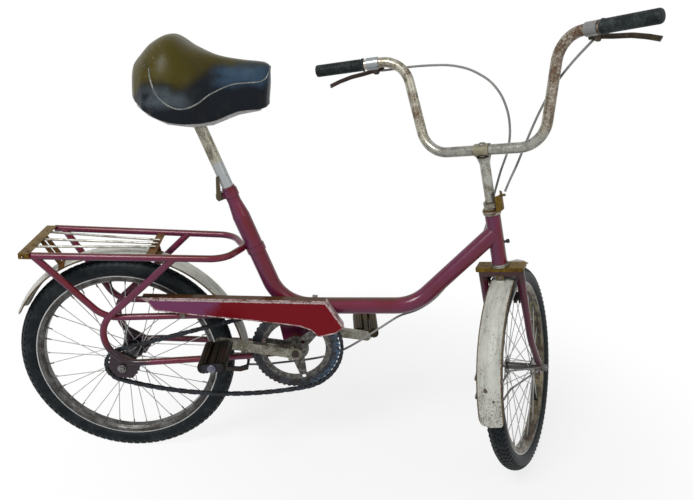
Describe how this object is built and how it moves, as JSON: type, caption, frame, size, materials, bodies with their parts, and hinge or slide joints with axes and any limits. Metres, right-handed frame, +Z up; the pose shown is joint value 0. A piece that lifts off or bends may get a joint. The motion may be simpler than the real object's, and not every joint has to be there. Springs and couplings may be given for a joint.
{
  "type": "small-wheel step-through bicycle",
  "caption": "Small-wheel bicycle with a low bent main tube, high-rise handlebar, wide saddle, fenders, chain guard and a rear carrier, its steering turned to the left.",
  "frame": {"origin": "the sitting point on top of the saddle, in the middle plane", "axes": "+X forward, +Y to the rider's left, +Z up"},
  "size_m": [1.3249, 0.4741, 1.0762],
  "materials": {
    "frame_paint": "worn gloss, chipped",
    "fender_paint": "aged gloss with rust spots",
    "worn_chrome": "worn, pitted with rust",
    "tinted_plate": "tinted plating",
    "wire_steel": "dull",
    "black_part": "dull",
    "grip_rubber": "dull ribbed",
    "tyre_rubber": "aged",
    "saddle_vinyl": "creased, soft sheen",
    "greasy_steel": "greasy",
    "saddle_pan": "dusty",
    "cable_housing": "dull grey sleeve",
    "pedal_rubber": "worn"
  },
  "bodies": {
    "frame": {"main_tube": "frame_paint", "head_tube": "frame_paint", "head_cups": "worn_chrome", "head_peg": "black_part", "bottom_bracket": "frame_paint", "lower_stay_right": "frame_paint", "lower_stay_left": "frame_paint", "upper_stay_right": "frame_paint", "upper_stay_left": "frame_paint", "stay_bridge": "frame_paint", "rack_rail": "frame_paint", "rack_end_plate": "tinted_plate", "rack_crossbar": "tinted_plate", "rack_wires": "wire_steel", "rear_fender": "fender_paint", "chain_guard": "frame_paint", "chain": "greasy_steel", "rear_axle": "wire_steel", "cable_hanger": "tinted_plate", "rack_hoops": "tinted_plate", "rack_clip": "tinted_plate", "rear_brake": "wire_steel", "rear_cable_lower": "cable_housing", "guard_straps": "wire_steel", "seat_clamp": "tinted_plate", "seatpost": "worn_chrome", "saddle_cover": "saddle_vinyl", "saddle_pan": "saddle_pan"},
    "steering": {"fork": "frame_paint", "crown_cap": "tinted_plate", "headset_nuts": "worn_chrome", "stem": "worn_chrome", "handlebar": "worn_chrome", "grip_right": "grip_rubber", "grip_left": "grip_rubber", "brake_lever_right": "tinted_plate", "brake_lever_left": "tinted_plate", "front_brake": "black_part", "front_cable": "cable_housing", "rear_cable_upper": "cable_housing", "front_fender_stays": "wire_steel", "front_fender": "fender_paint", "front_axle": "wire_steel"},
    "front_wheel": {"front_tyre": "tyre_rubber", "front_rim": "worn_chrome", "front_hub": "wire_steel"},
    "rear_wheel": {"rear_tyre": "tyre_rubber", "rear_rim": "worn_chrome", "rear_hub": "wire_steel", "rear_sprocket": "greasy_steel"},
    "crankset": {"chainring": "greasy_steel", "crank_spindle": "wire_steel", "crank_right": "worn_chrome", "crank_left": "worn_chrome"},
    "right_pedal": {"pedal_right": "pedal_rubber"},
    "left_pedal": {"pedal_left": "pedal_rubber"}
  },
  "joints": [
    {"name": "steering_turn", "type": "hinge", "parent": "frame", "child": "steering", "pos_m": [0.75766, 0, -0.7176], "axis": [-0.2782, 0, 0.9605], "range_deg": [-137, 13]},
    {"name": "front_wheel_spin", "type": "hinge", "parent": "steering", "child": "front_wheel", "pos_m": [0.77322, 0.03046, -0.71309], "axis": [-0.8481, 0.4695, -0.2456], "continuous": true},
    {"name": "rear_wheel_spin", "type": "hinge", "parent": "frame", "child": "rear_wheel", "pos_m": [-0.165, 0, -0.708], "axis": [0, 1, 0], "continuous": true},
    {"name": "crank_turn", "type": "hinge", "parent": "frame", "child": "crankset", "pos_m": [0.225, 0, -0.6466], "axis": [0, 1, 0], "continuous": true},
    {"name": "right_pedal_spin", "type": "hinge", "parent": "crankset", "child": "right_pedal", "pos_m": [0.05603, 0, -0.62795], "axis": [0, 1, 0], "continuous": true},
    {"name": "left_pedal_spin", "type": "hinge", "parent": "crankset", "child": "left_pedal", "pos_m": [0.39397, 0, -0.66525], "axis": [0, 1, 0], "continuous": true}
  ]
}
